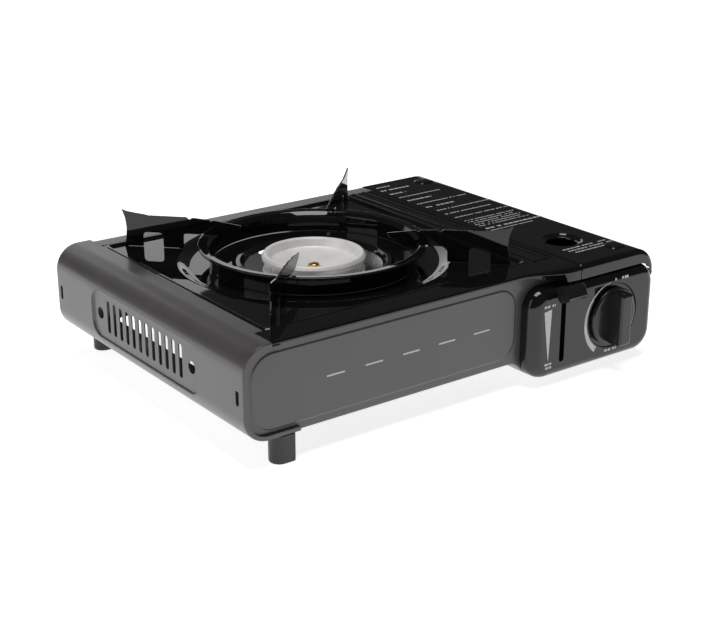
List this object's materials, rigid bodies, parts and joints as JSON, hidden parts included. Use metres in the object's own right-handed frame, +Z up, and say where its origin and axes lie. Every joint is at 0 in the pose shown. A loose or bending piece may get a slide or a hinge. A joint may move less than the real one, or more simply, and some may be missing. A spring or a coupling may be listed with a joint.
{
  "type": "camping stove",
  "caption": "Portable gas stove: burner in an enamelled plate, lift-off pan support, cartridge bay under a hinged lid, locking lever and igniting control knob.",
  "frame": {"origin": "on the ground under the middle of the stove's overall width and depth", "axes": "+X to the right along the front panel, +Y from the front panel to the back, +Z up"},
  "size_m": [0.346, 0.274, 0.1083],
  "materials": {
    "gray_paint": "satin metallic paint",
    "black_enamel": "high gloss enamel",
    "black_plastic": "fine moulded texture",
    "burner_alloy": "bead-blasted casting",
    "cast_zinc": "die-cast zinc",
    "plated_steel": "zinc-plated",
    "brass": "turned",
    "white_ceramic": "glazed insulator",
    "seal_rubber": "moulded",
    "lead_cover": "silicone sleeve"
  },
  "bodies": {
    "root": {"left_shell": "gray_paint", "right_shell": "gray_paint", "front_panel": "gray_paint", "rear_panel": "gray_paint", "top_plate": "black_enamel", "control_panel": "black_enamel", "foot_front_left": "black_plastic", "foot_rear_left": "black_plastic", "foot_front_right": "black_plastic", "foot_mid_right": "black_plastic", "foot_rear_right": "black_plastic", "piezo_body": "black_plastic", "burner_ring": "burner_alloy", "burner_base": "burner_alloy", "regulator_body": "cast_zinc", "diaphragm_cap": "cast_zinc", "partition_wall": "plated_steel", "hinge_pin_front": "plated_steel", "hinge_pin_rear": "plated_steel", "mixing_tube": "plated_steel", "air_collar": "plated_steel", "gas_pipe": "plated_steel", "burner_bracket": "plated_steel", "bracket_screw_front": "plated_steel", "bracket_screw_rear": "plated_steel", "regulator_screw_left": "plated_steel", "regulator_screw_right": "plated_steel", "electrode_bracket": "plated_steel", "electrode_pin": "plated_steel", "lever_pivot_pin": "plated_steel", "lever_bracket": "plated_steel", "lever_spring": "plated_steel", "cradle_front": "plated_steel", "cradle_rear": "plated_steel", "burner_screw": "brass", "gas_jet": "brass", "electrode_ceramic": "white_ceramic", "inlet_seal": "seal_rubber", "igniter_lead": "lead_cover"},
    "pan_support": {"pan_ring": "black_enamel", "pan_arm_right_rear": "black_enamel", "pan_arm_left_rear": "black_enamel", "pan_arm_left_front": "black_enamel", "pan_arm_right_front": "black_enamel"},
    "lid": {"cartridge_lid": "black_enamel"},
    "knob": {"control_knob": "black_plastic", "knob_shaft": "brass"},
    "plunger": {"piezo_plunger": "white_ceramic"},
    "lever": {"lock_lever": "plated_steel", "lever_cap": "black_plastic"},
    "slide": {"link_rod": "plated_steel", "cartridge_pusher": "plated_steel"}
  },
  "joints": [
    {"name": "pan_support_lift", "type": "slide", "parent": "root", "child": "pan_support", "axis": [0, 0, 1], "range_m": [0, 0.06]},
    {"name": "lid_hinge", "type": "hinge", "parent": "root", "child": "lid", "pos_m": [0.17, 0.009, 0.0625], "axis": [0, 1, 0], "range_deg": [0, 100]},
    {"name": "knob_turn", "type": "hinge", "parent": "root", "child": "knob", "pos_m": [0.129, -0.123, 0.04], "axis": [0, -1, 0], "range_deg": [0, 165]},
    {"name": "plunger_stroke", "type": "slide", "parent": "root", "child": "plunger", "axis": [0, 0, 1], "range_m": [0, 0.0056]},
    {"name": "lever_swing", "type": "hinge", "parent": "root", "child": "lever", "pos_m": [0.0805, -0.071, 0.043], "axis": [1, 0, 0], "range_deg": [0, 48], "stiffness_Nm_per_rad": 0.03, "springref_deg": -34.38},
    {"name": "pusher_stroke", "type": "slide", "parent": "root", "child": "slide", "axis": [0, -1, 0], "range_m": [0, 0.00661]}
  ],
  "couplings": [
    {"joint": "plunger_stroke", "follows": "knob_turn", "m_per_rad": 0.0019099},
    {"joint": "pusher_stroke", "follows": "lever_swing", "m_per_rad": 0.0077681}
  ]
}
